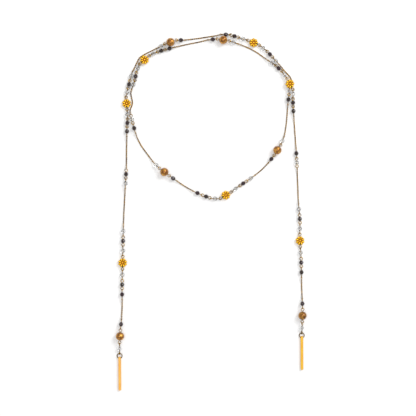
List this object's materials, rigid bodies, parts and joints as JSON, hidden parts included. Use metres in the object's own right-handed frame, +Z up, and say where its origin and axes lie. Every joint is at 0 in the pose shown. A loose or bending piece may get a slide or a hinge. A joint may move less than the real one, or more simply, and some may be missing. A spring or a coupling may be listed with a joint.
{
  "type": "long beaded necklace",
  "caption": "Long open necklace of cut glass bicones, round lustre beads and gold flower beads on linked eye pins and fine chain, with a square gold bar at each free end.",
  "frame": {"origin": "middle of the whole necklace's outline as it lies wound up, on the surface under it", "axes": "+X to the right, +Y along the length from the bars up to the neck turns, +Z up from the surface; the picture looks straight down along -Z"},
  "size_m": [0.1902, 0.3575, 0.0084],
  "materials": {
    "flower_gold": "satin gold plate, brown in the grooves",
    "lustre_glass": "opaque bronze and gold lustre",
    "chain_brass": "antique, semi-matt",
    "dark_glass": "cut and polished, smoky",
    "clear_glass": "cut and polished, clear",
    "pin_brass": "antique, semi-matt",
    "ring_brass": "antique, dark",
    "bar_gold": "matt gold plate"
  },
  "bodies": {
    "root": {"flower_bead_1": "flower_gold", "flower_bead_2": "flower_gold", "flower_bead_3": "flower_gold", "flower_bead_4": "flower_gold", "flower_bead_5": "flower_gold", "flower_bead_6": "flower_gold", "flower_bead_7": "flower_gold", "round_bead_1": "lustre_glass", "round_bead_2": "lustre_glass", "round_bead_3": "lustre_glass", "round_bead_4": "lustre_glass", "round_bead_5": "lustre_glass", "round_bead_6": "lustre_glass", "chain_run_1": "chain_brass", "chain_run_2": "chain_brass", "chain_run_3": "chain_brass", "chain_run_4": "chain_brass", "chain_run_5": "chain_brass", "chain_run_6": "chain_brass", "chain_run_7": "chain_brass", "chain_run_8": "chain_brass", "chain_run_9": "chain_brass", "chain_run_10": "chain_brass", "chain_run_11": "chain_brass", "chain_run_12": "chain_brass", "chain_run_13": "chain_brass", "chain_run_14": "chain_brass", "chain_run_15": "chain_brass", "chain_run_16": "chain_brass", "dark_bicones_left": "dark_glass", "clear_bicones_left": "clear_glass", "eye_pins_left": "pin_brass", "bar_ring_left": "ring_brass", "bar_left": "bar_gold", "dark_bicones_right": "dark_glass", "clear_bicones_right": "clear_glass", "eye_pins_right": "pin_brass", "bar_ring_right": "ring_brass", "bar_right": "bar_gold"}
  },
  "joints": []
}
